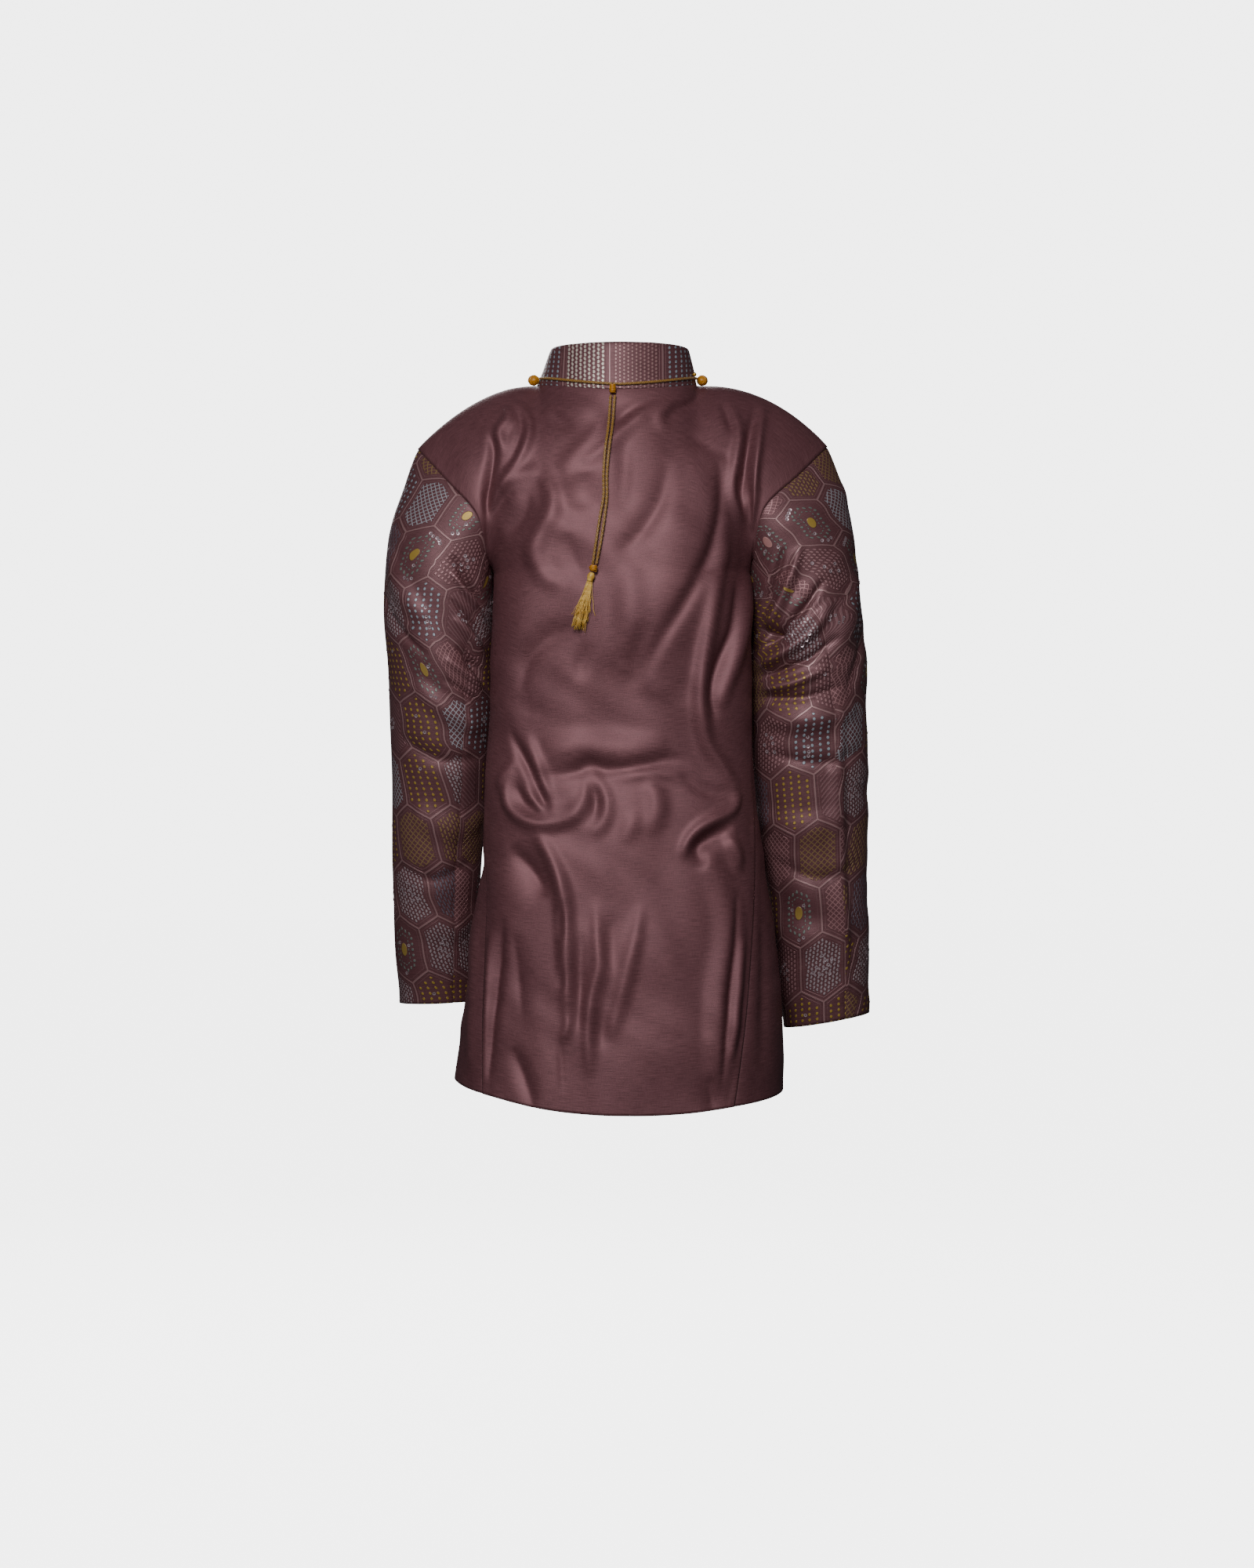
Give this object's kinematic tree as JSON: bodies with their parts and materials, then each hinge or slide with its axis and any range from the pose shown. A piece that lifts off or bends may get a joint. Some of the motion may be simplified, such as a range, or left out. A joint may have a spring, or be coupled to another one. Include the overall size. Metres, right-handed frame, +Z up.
{
  "type": "sherwani coat",
  "caption": "Child's knee-length sherwani coat with a stand collar, embroidered sleeves and a gold neck cord with a tassel, filled out as worn.",
  "frame": {"origin": "middle of the neck opening, level with the inner ends of the shoulder seams, where a wearer's neck and shoulders hold the coat", "axes": "+Z up, the coat's front faces -Y, the coat's own left side is at +X"},
  "size_m": [0.3857, 0.1964, 0.5957],
  "materials": {
    "satin": "slubbed satin, soft sheen",
    "embroidered": "satin embroidered all over in a honeycomb",
    "cord": "twisted gold cord",
    "brass": "brushed"
  },
  "bodies": {
    "root": {"back": "satin", "front_left": "satin", "front_right": "satin", "sleeve_left": "embroidered", "sleeve_right": "embroidered", "collar": "embroidered", "button_1": "brass", "button_2": "brass", "button_3": "brass", "button_4": "brass", "button_5": "brass", "button_6": "brass", "cord_neck_left": "cord", "cord_neck_right": "cord", "knot_left": "cord", "knot_right": "cord", "cord_binding": "cord", "cord_strand_a": "cord", "cord_strand_b": "cord", "cord_lower_knot": "cord", "tassel": "cord"}
  },
  "joints": []
}
